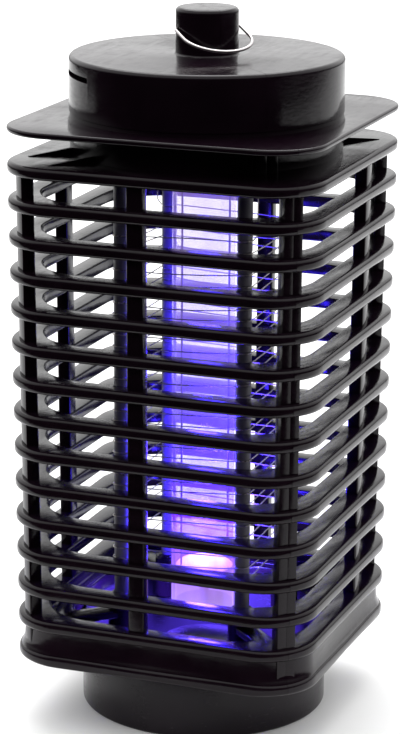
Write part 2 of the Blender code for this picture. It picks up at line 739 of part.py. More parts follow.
def build_components():
    """Voltage multiplier on the board: capacitors, diodes, resistors, fuse, terminals."""
    top = BOARD_Z + BOARD_THICKNESS + GAP
    along_x = Vector((1, 0, 0))
    along_y = Vector((0, 1, 0))
    for number, y in enumerate((-0.0100, 0.0, 0.0100), 1):
        rounded_block(f"capacitor_{number}", (0.0150, 0.0070, 0.0110),
                      (-0.0110, y, top + 0.0055), COMPONENT)
    for number, y in enumerate((-0.0090, -0.0040, 0.0010, 0.0060), 1):
        axial_component(f"diode_{number}", Vector((0.0090, y, top + 0.0016)), along_x,
                        0.0014, 0.0050, 0.0030, BLACK_SHELL)
    axial_component("bleed_resistor", Vector((0.0090, 0.0110, top + 0.0018)), along_x,
                    0.0016, 0.0080, 0.0020, GREY_CERAMIC)
    axial_component("fuse", Vector((0.0210, 0.0, top + 0.0028)), along_y, 0.0026, 0.0160,
                    0.0010, CLEAR_TUBE)
    rounded_block("terminal_block", (0.0120, 0.0080, 0.0090), (0.0150, 0.0195, top + 0.0045),
                  GREY_CERAMIC)


def build_cord_bush():
    """Grommet for the mains cord, trapped between the halves at the back of the head."""
    bore = 0.0028
    neck = 0.0042
    lip = 0.0058
    start = UP * BUSH_Z - SEAM * 0.0445
    profile = [(lip - 0.0012, 0.0092), (lip, 0.0080), (lip, 0.0066), (neck, 0.0066),
               (neck, 0.0024), (lip, 0.0024), (lip, 0.0), (bore, 0.0), (bore, 0.0092)]
    bush = turned("cord_bush", profile, SMALL_STEPS, along(start, -SEAM), closed=True)
    finish_part(bush, "cord_bush", RUBBER)


def build_seam_screws():
    for name, place, seat in seam_screw_places():
        matrix = along(place + DRAW * (seat + GAP), DRAW)
        screw = screw_mesh(name, matrix, SEAM_SCREW_RADIUS, seat + 0.0090)
        finish_part(screw, name, SCREW_STEEL)


build_housing()
build_bail()
build_tray()
build_grid_base()
build_pillars()
build_grid_wires()
build_deck()
build_lamp()
build_circuit_board()
build_components()
build_cord_bush()
build_seam_screws()
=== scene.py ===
"""Looks of the electric bug zapper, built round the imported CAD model.

Metres, in the CAD's own frame: +Z up, the foot on the floor, the cage's faces along X and Y.
The housing is two halves that meet on the upright plane through the corners (+X, -Y) and
(-X, +Y). A shape that both halves share is made for the right half and mirrored across it.
"""
import math
import random

import bpy
import bmesh
from mathutils import Matrix, Vector


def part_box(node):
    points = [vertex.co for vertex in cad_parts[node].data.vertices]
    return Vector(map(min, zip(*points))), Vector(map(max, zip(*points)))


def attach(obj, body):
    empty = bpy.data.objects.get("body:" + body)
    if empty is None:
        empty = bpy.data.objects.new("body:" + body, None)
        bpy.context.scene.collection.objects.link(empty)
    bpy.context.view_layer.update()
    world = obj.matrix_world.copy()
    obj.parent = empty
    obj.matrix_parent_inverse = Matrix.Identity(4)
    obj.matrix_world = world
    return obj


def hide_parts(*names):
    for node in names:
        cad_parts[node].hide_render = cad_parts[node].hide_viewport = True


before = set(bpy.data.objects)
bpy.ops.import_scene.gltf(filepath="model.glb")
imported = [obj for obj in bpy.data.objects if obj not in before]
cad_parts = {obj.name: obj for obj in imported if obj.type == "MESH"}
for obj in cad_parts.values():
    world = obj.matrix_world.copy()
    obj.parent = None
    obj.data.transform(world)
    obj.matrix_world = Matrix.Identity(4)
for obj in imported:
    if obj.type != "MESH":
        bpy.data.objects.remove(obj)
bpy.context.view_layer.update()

# ---- places and sizes, from the frame --------------------
SHELL_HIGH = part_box("right_shell")[1]
TRAY_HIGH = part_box("tray")[1]
TUBE_LOW, TUBE_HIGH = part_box("lamp_tube")
PILLAR_LOW, PILLAR_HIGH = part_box("pillar_right")
BUSH_LOW, BUSH_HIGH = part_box("cord_bush")
LENS_LOW, LENS_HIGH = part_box("led_lens")

HALF_WIDTH = SHELL_HIGH.x           # of the roof plate and the cage's flange
HEIGHT = SHELL_HIGH.z
UP = Vector((0, 0, 1))
DRAW = Vector((1, 1, 0)).normalized()       # the halves come apart along this
SEAM = Vector((1, -1, 0)).normalized()      # towards the near corner
SEAM_GAP = 0.00012          # between the two halves of the housing
POST_SEAM_GAP = 0.00003     # between the two halves of a post
CLEARANCE = 0.0003          # between pieces that only rest on one another
AXIS_GAP = 0.00005          # that a ring's profile keeps off its own axis

# ---- driving sizes of the housing ------------------------
CORNER_RADIUS = 0.0200
INNER_CORNER_RADIUS = 0.0240
LOUVRE_COUNT = 13
BASE_LEVEL = LOUVRE_COUNT + 1
LOUVRE_PITCH = 0.0131
LOUVRE_THICKNESS = 0.0044
LOUVRE_DEPTH = 0.0080
PLATE_ROUNDING = 0.0017     # outer edge of the flange, the louvres and the base plate
CAGE_TAPER = 0.0018         # how much each side draws in from flange to base plate
FLANGE_Z = 0.2110
FLANGE_HOLE = 0.0440

POST_INSET = 0.0026
POST_DEPTH = 0.0048
POST_WIDTH = 0.0062
SEAM_POST_WIDTH = 0.0070

ROOF_BOTTOM = 0.2238
ROOF_TOP = 0.2260
ROOF_ROUNDING = 0.0009
HEAD_RADIUS = 0.0503
NECK_RADIUS = 0.0500
HEAD_TOP = 0.2480
HEAD_WALL = 0.0027
KNOB_RADIUS = 0.0115
KNOB_BORE = 0.0088
BUSH_HOLE_RADIUS = 0.0045
BUSH_START = 0.0445         # of the bush's inner end from the axis
BASE_OPENING = 0.0463
BASE_OPENING_CORNER = 0.0360
BASE_FLOOR_TOP = 0.0365

VENT_Z = 0.2420
VENT_HEIGHT = 0.0020
VENT_START = math.radians(203)
VENT_END = math.radians(233)

ARC_STEPS = 14              # in a quarter of a rounded corner
STRAIGHT_STEPS = 6          # in a straight side between two corners
TURN_STEPS = 128            # in a full turn of a round piece
SHARP_ANGLE = 40            # degrees; a steeper edge is drawn sharp

# ---- bail, wires, lamp -----------------------------------
BAIL_RADIUS = 0.0006
BAIL_PIVOT_Z = 0.2575
BAIL_REACH = 0.0215
BAIL_HALF_WIDTH = 0.0128
BAIL_DROOP = math.radians(16)

PILLAR_OFFSET = 0.0240
PILLAR_RADIUS = (PILLAR_HIGH.x - PILLAR_LOW.x) / 2
BOSS_RADIUS = 0.0052
BOSS_BOTTOM = 0.0290
BOSS_TOP = 0.0460
GRID_FRAME_TOP = 0.0383
GRID_FRAME_HALF = 0.0502
GRID_FRAME_CORNER = 0.0300
WIRE_RADIUS = 0.00022
WIRE_PITCH = 0.0082
WIRE_TURNS = 16
WIRE_FIRST_Z = 0.0560
WIRE_TOP_Z = 0.2167
LEAD_STAND_OFF = 0.0048
LENS_RADIUS = 0.0108

# ---- the camera ------------------------------------------
CAMERA_AZIMUTH = math.radians(20.69)
CAMERA_DISTANCE = 1.0200
CAMERA_HEIGHT = 0.4084
CAMERA_PITCH = math.radians(15.27)
CAMERA_YAW = math.radians(20.782)
CAMERA_ROLL = math.radians(0.290)
CAMERA_LENS = 138.7
CAMERA_SENSOR = 36.0

# ---- the studio ------------------------------------------
FLOOR_WIDTH = 3.2
FLOOR_DEPTH = 2.9
FLOOR_FRONT = -0.16
SKY_SLOPE = (-0.30, 0.70, 2.6)      # the way that the world's light grows brighter
SKY_FADE = (0.15, 1.30)             # where along it the light starts and stops growing
SKY_LIGHT = (0.012, 1.5)            # its strength there
OVERHEAD_PLACE = (-0.3, 0.7, 1.6)
OVERHEAD_TARGET = (0, 0.2, 0)
OVERHEAD_POWER = 22
OVERHEAD_SIZE = 1.4
LAMP_BLUE = (0.040, 0.020, 1.0)
LAMP_LIGHTS = ((0.0640, 0.8), (0.0950, 0.30), (0.1300, 0.16), (0.1650, 0.06),
               (0.1950, 0.02))      # (height, power) up the lamp
LAMP_LIGHT_SIZE = 0.006
FOOT_BLUE = (0.11, 0.08, 1.0)
FOOT_FROM = (0.0180, 0, 0.0520)     # the first of four spots that light the tray
FOOT_TO = (0.0380, 0, 0.0040)
FOOT_POWER = 9.0
FOOT_SIZE = 0.008
FOOT_ANGLE = math.radians(96)

RANDOM = random.Random(7)


# ---- node helpers ----------------------------------------
class Nodes:
    """Short names for the steps of building a material."""

    def __init__(self, name):
        self.material = bpy.data.materials.new(name)
        self.material.use_nodes = True
        self.tree = self.material.node_tree
        self.shader = self.tree.nodes["Principled BSDF"]
        self.place = self.add("ShaderNodeTexCoord").outputs["Object"]

    def add(self, kind, **values):
        node = self.tree.nodes.new(kind)
        for key, value in values.items():
            setattr(node, key, value)
        return node

    def link(self, output, target):
        self.tree.links.new(output, target)

    def set(self, **values):
        """Set the shader's sockets: specular_ior_level is Specular IOR Level."""
        for key, value in values.items():
            socket = key.replace("_", " ").title().replace("Ior", "IOR")
            self.shader.inputs[socket].default_value = value

    def noise(self, scale, detail=4.0, roughness=0.55, stretch=None):
        node = self.add("ShaderNodeTexNoise")
        node.inputs["Scale"].default_value = scale
        node.inputs["Detail"].default_value = detail
        node.inputs["Roughness"].default_value = roughness
        place = self.place
        if stretch:
            mapping = self.add("ShaderNodeMapping")
            mapping.inputs["Scale"].default_value = stretch
            self.link(place, mapping.inputs["Vector"])
            place = mapping.outputs["Vector"]
        self.link(place, node.inputs["Vector"])
        return node.outputs["Fac"]

    def ramp(self, value, stops):
        """A colour ramp through (place, colour) stops."""
        node = self.add("ShaderNodeValToRGB")
        elements = node.color_ramp.elements
        elements[0].position, elements[0].color = stops[0][0], (*stops[0][1], 1)
        elements[1].position, elements[1].color = stops[-1][0], (*stops[-1][1], 1)
        for place, colour in stops[1:-1]:
            elements.new(place).color = (*colour, 1)
        self.link(value, node.inputs["Fac"])
        return node.outputs["Color"]

    def span(self, value, low, high, from_low=0.0, from_high=1.0):
        node = self.add("ShaderNodeMapRange")
        node.inputs["From Min"].default_value = from_low
        node.inputs["From Max"].default_value = from_high
        node.inputs["To Min"].default_value = low
        node.inputs["To Max"].default_value = high
        self.link(value, node.inputs["Value"])
        return node.outputs["Result"]

    def math(self, operation, first, second):
        node = self.add("ShaderNodeMath", operation=operation)
        for socket, value in zip(node.inputs, (first, second)):
            if isinstance(value, (int, float)):
                socket.default_value = value
            else:
                self.link(value, socket)
        return node.outputs["Value"]

    def bump(self, height, distance, strength=1.0, below=None):
        node = self.add("ShaderNodeBump")
        node.inputs["Distance"].default_value = distance
        node.inputs["Strength"].default_value = strength
        self.link(height, node.inputs["Height"])
        if below is not None:
            self.link(below, node.inputs["Normal"])
        return node.outputs["Normal"]

    def to(self, socket, output):
        self.link(output, self.shader.inputs[socket])


# ---- materials -------------------------------------------
def plastic_material(name, dark, light, smooth, rough, specular=0.22):
    """Moulded plastic: faint flow mottling, orange peel, dull patches and fine scratches."""
    nodes = Nodes(name)
    mottling = nodes.noise(38, 5)
    nodes.to("Base Color", nodes.ramp(mottling, [(0.35, dark), (0.7, light)]))
    patches = nodes.noise(95, 6, 0.65)
    scratches = nodes.noise(420, 3, 0.7, stretch=(1.0, 0.12, 3.0))
    worn = nodes.math("MULTIPLY", patches, nodes.span(scratches, 0.6, 1.25, 0.3, 0.75))
    nodes.to("Roughness", nodes.span(worn, smooth, rough, 0.25, 0.7))
    peel = nodes.bump(nodes.noise(700, 2), 0.00004, 0.5)
    nodes.to("Normal", nodes.bump(scratches, 0.00002, 0.35, peel))
    nodes.set(specular_ior_level=specular)
    return nodes.material


def insulator_material():
    """Satin grey moulded insulator with a mould line's dull grain."""
    nodes = Nodes("grey_insulator")
    grain = nodes.noise(260, 5, stretch=(1, 1, 0.25))
    nodes.to("Base Color", nodes.ramp(grain, [(0.3, (0.130, 0.120, 0.140)),
                                              (0.7, (0.210, 0.198, 0.220))]))
    nodes.to("Roughness", nodes.span(grain, 0.34, 0.52))
    nodes.to("Normal", nodes.bump(nodes.noise(1500, 3), 0.00003, 0.5))
    return nodes.material


def metal_material(name, dark, light, smooth, rough, stretch=None):
    """Metal with drawn or rolled streaks and a little tarnish."""
    nodes = Nodes(name)
    streaks = nodes.noise(900, 5, 0.6, stretch)
    tarnish = nodes.noise(60, 4)
    mixed = nodes.math("MULTIPLY", streaks, nodes.span(tarnish, 0.7, 1.3, 0.3, 0.7))
    nodes.to("Base Color", nodes.ramp(mixed, [(0.2, dark), (0.7, light)]))
    nodes.to("Roughness", nodes.span(mixed, rough, smooth, 0.2, 0.7))
    nodes.to("Normal", nodes.bump(streaks, 0.00001, 0.4))
    nodes.set(metallic=1.0)
    return nodes.material


def tube_material():
    """Clear tube with the lamp's light painted into it as an emitted glow: pink and bright low
    down, blue above.
    """
    nodes = Nodes("clear_tube")
    height = nodes.add("ShaderNodeSeparateXYZ")
    nodes.link(nodes.place, height.inputs["Vector"])
    rise = nodes.span(height.outputs["Z"], 0.0, 1.0, TUBE_LOW.z, TUBE_HIGH.z)
    # Painted glow: the light of the LEDs is painted into the glass as emission, pink and bright
    # low down by the lens, bluer and fainter above.
    painted_glow = nodes.ramp(rise, [(0.0, (0.58, 0.38, 1.0)), (0.10, (0.46, 0.20, 1.0)),
                             (0.17, (0.27, 0.012, 1.0)), (0.28, (0.18, 0.07, 0.92)),
                             (0.55, (0.29, 0.19, 0.75)), (1.0, (0.35, 0.24, 0.60))])
    haze = nodes.noise(140, 4, stretch=(1, 1, 0.3))
    # More opaque where the wall is seen edge on, which also makes the painted glow brighter
    # along the tube's edges.
    edge = nodes.add("ShaderNodeLayerWeight")
    edge.inputs["Blend"].default_value = 0.30
    thick = nodes.span(edge.outputs["Facing"], 0.0, 0.42, 0.45, 1.0)
    # More opaque low down, which makes the painted glow strongest there.
    body = nodes.ramp(rise, [(0.0, (0.55,) * 3), (0.12, (0.42,) * 3), (0.30, (0.25,) * 3),
                             (1.0, (0.23,) * 3)])
    clouded = nodes.math("MULTIPLY", body, nodes.span(haze, 0.75, 1.25, 0.3, 0.7))
    nodes.to("Alpha", nodes.math("ADD", clouded, thick))
    nodes.to("Emission Color", painted_glow)
    nodes.to("Roughness", nodes.span(haze, 0.03, 0.12))
    nodes.to("Base Color", nodes.ramp(haze, [(0.3, (0.04, 0.03, 0.10)),
                                             (0.7, (0.07, 0.06, 0.16))]))
    nodes.set(emission_strength=1.0)
    return nodes.material


def lens_material():
    """Frosted lens over the LEDs, brightest in the middle."""
    nodes = Nodes("lamp_glow")
    frost = nodes.noise(900, 4)
    middle = nodes.add("ShaderNodeVectorMath", operation="LENGTH")
    flat = nodes.add("ShaderNodeVectorMath", operation="MULTIPLY")
    flat.inputs[1].default_value = (1, 1, 0)
    nodes.link(nodes.place, flat.inputs[0])
    nodes.link(flat.outputs["Vector"], middle.inputs[0])
    out = nodes.span(middle.outputs["Value"], 0.0, 1.0, 0.0, LENS_RADIUS)
    nodes.to("Emission Color", nodes.ramp(out, [(0.0, (1.0, 0.92, 1.0)),
                                                (0.70, (0.80, 0.70, 1.0)),
                                                (1.0, (0.90, 0.32, 1.0))]))
    nodes.to("Roughness", nodes.span(frost, 0.3, 0.6))
    nodes.to("Base Color", nodes.ramp(frost, [(0.3, (0.75, 0.65, 0.95)),
                                              (0.7, (0.90, 0.82, 1.0))]))
    nodes.set(emission_strength=1.3)
    return nodes.material


def board_material():
    """Green solder mask over copper tracks, with a fibre weave in its sheen."""
    nodes = Nodes("board_green")
    tracks = nodes.add("ShaderNodeTexBrick")
    tracks.inputs["Scale"].default_value = 240
    tracks.inputs["Mortar Size"].default_value = 0.03
    tracks.inputs["Color1"].default_value = (0.010, 0.075, 0.030, 1)
    tracks.inputs["Color2"].default_value = (0.012, 0.090, 0.036, 1)
    tracks.inputs["Mortar"].default_value = (0.025, 0.150, 0.060, 1)
    nodes.link(nodes.place, tracks.inputs["Vector"])
    nodes.to("Base Color", tracks.outputs["Color"])
    nodes.to("Roughness", nodes.span(nodes.noise(800, 4), 0.25, 0.5))
    nodes.to("Normal", nodes.bump(tracks.outputs["Fac"], 0.00004, 0.6))
    return nodes.material


def glass_material(name, tint):
    """Half clear glass with faint smears."""
    nodes = Nodes(name)
    smears = nodes.noise(300, 4)
    nodes.to("Roughness", nodes.span(smears, 0.03, 0.15))
    lighter = tuple(min(1, channel * 1.15) for channel in tint)
    nodes.to("Base Color", nodes.ramp(smears, [(0.3, tint), (0.7, lighter)]))
    nodes.set(alpha=0.5)
    return nodes.material


def floor_material():
    """Matt, nearly white studio paper."""
    nodes = Nodes("studio_floor")
    grain = nodes.noise(12, 4)
    nodes.to("Base Color", nodes.ramp(grain, [(0.3, (0.93, 0.93, 0.93)),
                                              (0.7, (0.96, 0.96, 0.96))]))
    nodes.to("Roughness", nodes.span(grain, 0.6, 0.8))
    return nodes.material


BLACK = plastic_material("black_shell", (0.0042, 0.0014, 0.0036), (0.0078, 0.0034, 0.0066),
                         0.10, 0.26)
TRAY_BLACK = plastic_material("tray_black", (0.0070, 0.0040, 0.0070),
                              (0.0120, 0.0080, 0.0120), 0.14, 0.32)
INSULATOR = insulator_material()
WIRE = metal_material("steel_wire", (0.30, 0.27, 0.25), (0.62, 0.58, 0.54), 0.22, 0.42,
                      (1, 1, 6))
BAIL_STEEL = metal_material("bail_steel", (0.36, 0.33, 0.34), (0.66, 0.62, 0.62), 0.16, 0.34)
SCREW = metal_material("screw_steel", (0.38, 0.38, 0.40), (0.62, 0.62, 0.64), 0.22, 0.40)
TUBE = tube_material()
LENS = lens_material()
BOARD = board_material()
LEAD = plastic_material("lead_wire", (0.10, 0.07, 0.16), (0.16, 0.12, 0.24), 0.35, 0.55)
RUBBER = plastic_material("rubber", (0.010, 0.010, 0.010), (0.018, 0.018, 0.018), 0.55, 0.8)
CAPACITOR = plastic_material("capacitor_red", (0.34, 0.08, 0.03), (0.46, 0.13, 0.05),
                             0.2, 0.4, 0.5)
DIODE = plastic_material("diode_black", (0.012, 0.012, 0.012), (0.022, 0.022, 0.022),
                         0.35, 0.6)
PALE = plastic_material("component_pale", (0.44, 0.41, 0.34), (0.56, 0.53, 0.46), 0.4, 0.6)
FUSE = glass_material("fuse_glass", (0.75, 0.76, 0.78))

CAD_FINISHES = {
    "top_deck": BLACK, "tube_plug": BLACK, "led_stem": BLACK, "led_board": BOARD,
    "led_lead_live": LEAD, "led_lead_neutral": LEAD, "circuit_board": BOARD,
    "lamp_collar": RUBBER, "bleed_resistor": PALE, "terminal_block": PALE, "fuse": FUSE,
}
CAD_SETS = (("capacitor", 3, CAPACITOR), ("diode", 4, DIODE), ("standoff", 4, BLACK),
            ("board_screw", 4, SCREW))


# ---- mesh helpers ----------------------------------------
class Body:
    """Gathers closed shapes into one mesh."""

    def __init__(self):
        self.points = []
        self.faces = []

    def loft(self, rings, closed=False):
        """Join rings of equal length. Open lofts get a cap at each end."""
        count = len(rings[0])
        first = len(self.points)
        self.points += [Vector(p) for ring in rings for p in ring]
        last = len(rings) if closed else len(rings) - 1
        for ring in range(last):
            here = first + ring * count
            there = first + (ring + 1) % len(rings) * count
            for k in range(count):
                after = (k + 1) % count
                self.faces.append((here + k, here + after, there + after, there + k))
        if not closed:
            end = len(self.points)
            self.faces.append(tuple(range(first, first + count))[::-1])
            self.faces.append(tuple(range(end - count, end)))

    def mesh(self, name):
        """The shapes as a mesh whose faces point out."""
        mesh = bpy.data.meshes.new(name)
        mesh.from_pydata([tuple(p) for p in self.points], [], self.faces)
        work = bmesh.new()
        work.from_mesh(mesh)
        bmesh.ops.recalc_face_normals(work, faces=work.faces)
        work.to_mesh(mesh)
        work.free()
        return mesh

    def make(self, name, material, body, replaced, sharp=SHARP_ANGLE):
        """A visible piece that rides on a CAD body and stands for a CAD node."""
        mesh = self.mesh(name)
        mesh.materials.append(material)
        mesh.shade_smooth()
        mesh.set_sharp_from_angle(angle=math.radians(sharp))
        piece = bpy.data.objects.new(name, mesh)
        bpy.context.scene.collection.objects.link(piece)
        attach(piece, body)
        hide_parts(replaced)
        return piece


def polar(radius, angle, height=0.0):
    """A point at a radius, an angle from +X and a height."""
    return Vector((radius * math.cos(angle), radius * math.sin(angle), height))


def arc(centre, radius, start, end, steps=4):
    """(across, height) points of an arc, between two angles in degrees."""
    points = []
    for step in range(steps + 1):
        angle = math.radians(start + (end - start) * step / steps)
        points.append((centre[0] + radius * math.cos(angle),
                       centre[1] + radius * math.sin(angle)))
    return points


def mirrored(point):
    """A point of the right half, mirrored across the seam to the left half."""
    return Vector((-point.y, -point.x, point.z))


def half_path(half, radius):
    """The right half of a rounded square's edge, from the near to the far corner."""
    centres = [(half - radius, -(half - radius)), (half - radius, half - radius),
               (-(half - radius), half - radius)]
    arcs = [(-45, 0, ARC_STEPS // 2), (0, 90, ARC_STEPS), (90, 135, ARC_STEPS // 2)]
    path = []
    for centre, (start, end, steps) in zip(centres, arcs):
        if path:
            last = path[-1]
            first = Vector(arc(centre, radius, start, end, steps)[0])
            for step in range(1, STRAIGHT_STEPS):
                path.append(last.lerp(first, step / STRAIGHT_STEPS))
        path += [Vector(p) for p in arc(centre, radius, start, end, steps)]
    return path


def circle_path(radius, like):
    """Points of a circle in the directions of another path's points."""
    return [p.normalized() * radius for p in like]


def edge_section(bottom, top, outer_round, inner_round=0.0006):
    """Section of a flat ring: (1 at the inner edge, inset from that edge, height)."""
    section = []
    for (x, z) in arc((outer_round, bottom + outer_round), outer_round, 270, 180):
        section.append((0, x, z))
    for (x, z) in arc((outer_round, top - outer_round), outer_round, 180, 90):
        section.append((0, x, z))
    for (x, z) in arc((-inner_round, top - inner_round), inner_round, 90, 0, 3):
        section.append((1, x, z))
    for (x, z) in arc((-inner_round, bottom + inner_round), inner_round, 0, -90, 3):
        section.append((1, x, z))
    return section


def section_rings(outer, inner, section):
    """The section at each pair of points of two matching paths."""
    rings = []
    for edge, hole in zip(outer, inner):
        inward = (hole - edge).normalized()
        ring = []
        for at_hole, inset, height in section:
            flat = (hole if at_hole else edge) + inward * inset
            ring.append(Vector((flat.x, flat.y, height)))
        rings.append(ring)
    return rings


def sweep_half(body, outer, inner, section, side):
    """Sweep a section between two matching paths of the right half, or mirror it."""
    rings = section_rings(outer, inner, section)
    body.loft([[seam_clear(p, side) for p in ring] for ring in rings])


def seam_clear(point, side):
    """Hold a point of the right half clear of the seam, and mirror it for the left half."""
    short = SEAM_GAP / 2 - point.dot(DRAW)
    if short > 0:
        point = point + DRAW * short
    return point if side > 0 else mirrored(point)


def turn_half(body, profile, side, steps=TURN_STEPS // 2):
    """Half a turned shape, from a closed profile of (radius, height) points."""
    rings = []
    for step in range(steps + 1):
        angle = math.radians(-45 + 180 * step / steps)
        rings.append([seam_clear(polar(r, angle, z), side) for r, z in profile])
    body.loft(rings)


def turn(body, profile, place=Matrix.Identity(4), steps=TURN_STEPS):
    """A whole turned shape, from a closed profile that keeps off its own axis."""
    rings = []
    for step in range(steps):
        angle = 2 * math.pi * step / steps
        rings.append([place @ polar(r, angle, z) for r, z in profile])
    body.loft(rings, closed=True)


def spin(body, profile, place=Matrix.Identity(4), steps=48):
    """A solid turned shape whose profile starts and ends on the axis."""
    rings = []
    for r, z in profile[1:-1]:
        rings.append([place @ polar(r, 2 * math.pi * k / steps, z) for k in range(steps)])
    body.loft(rings)


def rounded_bar(body, centre, outward, lengthwise, size, rounding, steps=3):
    """A bar with rounded long edges: size is (depth outward, width across, length)."""
    across = lengthwise.cross(outward).normalized()
    depth, width, length = size
    outline = []
    for quarter in range(4):
        middle = math.pi / 4 + quarter * math.pi / 2
        x = math.copysign(depth / 2 - rounding, math.cos(middle))
        y = math.copysign(width / 2 - rounding, math.sin(middle))
        outline += arc((x, y), rounding, quarter * 90, quarter * 90 + 90, steps)
    rings = []
    for end in (-0.5, 0.5):
        rings.append([centre + outward * x + across * y + lengthwise * length * end
                      for x, y in outline])
    body.loft(rings)


def tube_along(body, path, radius, sides=12):
    """A round wire along a path of points."""
    rings = []
    side_way = None
    for index, point in enumerate(path):
        before = path[max(index - 1, 0)]
        after = path[min(index + 1, len(path) - 1)]
        ahead = (after - before).normalized()
        if side_way is None:
            side_way = ahead.orthogonal().normalized()
        side_way = (side_way - ahead * side_way.dot(ahead)).normalized()
        other = ahead.cross(side_way)
        rings.append([point + side_way * radius * math.cos(2 * math.pi * k / sides)
                      + other * radius * math.sin(2 * math.pi * k / sides)
                      for k in range(sides)])
    body.loft(rings)


def cut(piece, cutters):
    """Cut closed shapes out of a piece, keep the result as its mesh and sharpen it again."""
    tools = bpy.data.collections.new("cutters_of_" + piece.name)
    for cutter in cutters:
        tools.objects.link(cutter)
    modifier = piece.modifiers.new("cut", "BOOLEAN")
    modifier.operation = "DIFFERENCE"
    modifier.solver = "EXACT"
    modifier.operand_type = "COLLECTION"
    modifier.collection = tools
    bpy.context.view_layer.update()
    graph = bpy.context.evaluated_depsgraph_get()
    piece.data = bpy.data.meshes.new_from_object(piece.evaluated_get(graph))
    piece.data.set_sharp_from_angle(angle=math.radians(SHARP_ANGLE))
    piece.modifiers.clear()
    for cutter in cutters:
        bpy.data.objects.remove(cutter, do_unlink=True)
    bpy.data.collections.remove(tools)


def cutter_object(name, body):
    return bpy.data.objects.new(name, body.mesh(name))


def along(start, axis):
    """Place whose own Z axis points along an axis."""
    return Matrix.Translation(start) @ axis.to_track_quat("Z", "Y").to_matrix().to_4x4()


def rod_cutter(name, radius, start, axis, length):
    """A round rod to cut with, from a start along an axis."""
    body = Body()
    spin(body, [(0, 0), (radius, 0), (radius, length), (0, length)], along(start, axis), 32)
    return cutter_object(name, body)


# ---- the housing -----------------------------------------
SIDES = {"left": -1, "right": 1}


def level_z(level):
    """Middle height of a plate of the cage: 0 is the flange, then the louvres."""
    return FLANGE_Z - level * LOUVRE_PITCH


def level_half(level):
    return HALF_WIDTH - CAGE_TAPER * level / BASE_LEVEL


def make_louvres(name, side):
    """The flange and thirteen louvres of one half, each with a rounded outer edge."""
    body = Body()
    for level in range(LOUVRE_COUNT + 1):
        middle = level_z(level)
        half = level_half(level)
        outer = half_path(half, CORNER_RADIUS)
        if level == 0:
            inner = circle_path(FLANGE_HOLE, outer)
        else:
            inner = half_path(half - LOUVRE_DEPTH, INNER_CORNER_RADIUS)
        section = edge_section(middle - LOUVRE_THICKNESS / 2, middle + LOUVRE_THICKNESS / 2,
                               PLATE_ROUNDING)
        sweep_half(body, outer, inner, section, side)
    body.make(name + "_louvres", BLACK, "housing", name + "_shell")


POST_HALF = level_half(BASE_LEVEL / 2)      # half the cage's width, halfway up
POST_REACH = POST_HALF - POST_INSET - POST_DEPTH / 2
CORNER_POST_REACH = ((POST_HALF - CORNER_RADIUS) * math.sqrt(2) + CORNER_RADIUS
                     - POST_INSET - POST_DEPTH / 2)
SIDE_POSTS = {              # (place along the side, way out of that side)
    "left": [(Vector((-0.0055, 0, 0)), Vector((0, -1, 0))),
             (Vector((0, -0.0055, 0)), Vector((-1, 0, 0)))],
    "right": [(Vector((0.0045, 0, 0)), Vector((0, 1, 0))),
              (Vector((0, 0.0170, 0)), Vector((1, 0, 0)))],
}
POST_ROUNDING = 0.0007
SEAM_POST_ROUNDING = 0.00006


def make_post(body, place, outward, width, rounding):
    """A post from base plate to flange, leaning out with the taper of the cage."""
    top = FLANGE_Z
    bottom = level_z(BASE_LEVEL)
    length = top - bottom
    lean = (UP * length + outward * CAGE_TAPER).normalized()
    face = (outward - lean * outward.dot(lean)).normalized()
    middle = place + UP * ((top + bottom) / 2)
    rounded_bar(body, middle, face, lean, (POST_DEPTH, width, length), rounding)


def make_posts(name, side):
    """The upright posts of one half, and its half of each post on the seam."""
    body = Body()
    for place, outward in SIDE_POSTS[name]:
        make_post(body, place + outward * POST_REACH, outward, POST_WIDTH, POST_ROUNDING)
    corner = DRAW * side
    make_post(body, corner * CORNER_POST_REACH, corner, POST_WIDTH, POST_ROUNDING)
    width = (SEAM_POST_WIDTH - POST_SEAM_GAP) / 2
    for end in (1, -1):
        place = SEAM * end * CORNER_POST_REACH + DRAW * side * (POST_SEAM_GAP + width) / 2
        make_post(body, place, SEAM * end, width, SEAM_POST_ROUNDING)
    body.make(name + "_posts", BLACK, "housing", name + "_shell")


def head_profile():
    """Closed profile of neck, cap and knob, with the hollow inside."""
    knob_edge = 0.0016
    fillet = 0.0008
    rim = 0.0017
    inner_chamfer = 0.0025
    line_z = ROOF_TOP + 0.0012          # of the fine line round the foot of the cap
    line_depth = 0.0003
    inside = HEAD_RADIUS - HEAD_WALL
    roof = HEAD_TOP - HEAD_WALL
    knob_roof = HEIGHT - HEAD_WALL
    profile = [(AXIS_GAP, HEIGHT - 0.0002)]
    profile += arc((KNOB_RADIUS - knob_edge, HEIGHT - knob_edge), knob_edge, 90, 0, 6)
    profile += arc((KNOB_RADIUS + fillet, HEAD_TOP + fillet), fillet, 180, 270)
    profile += arc((HEAD_RADIUS - rim, HEAD_TOP - rim), rim, 90, 0, 8)
    profile += [(HEAD_RADIUS, line_z + 0.0005), (HEAD_RADIUS - line_depth, line_z + 0.0002),
                (HEAD_RADIUS - line_depth, line_z - 0.0002),
                (NECK_RADIUS, ROOF_BOTTOM - 0.0006), (NECK_RADIUS, FLANGE_Z)]
    profile += [(inside, FLANGE_Z), (inside, roof - inner_chamfer),
                (inside - inner_chamfer, roof), (KNOB_BORE, roof), (KNOB_BORE, knob_roof),
                (AXIS_GAP, knob_roof)]
    return profile


def vent_cutter():
    """A slot that follows the left half of the head's side."""
    steps = 10
    low, high = VENT_Z - VENT_HEIGHT / 2, VENT_Z + VENT_HEIGHT / 2
    inside, outside = 0.046, 0.053
    outline = ((inside, low), (outside, low), (outside, high), (inside, high))
    body = Body()
    rings = []
    for step in range(steps + 1):
        angle = VENT_START + (VENT_END - VENT_START) * step / steps
        rings.append([polar(r, angle, z) for r, z in outline])
    body.loft(rings)
    return cutter_object("vent", body)


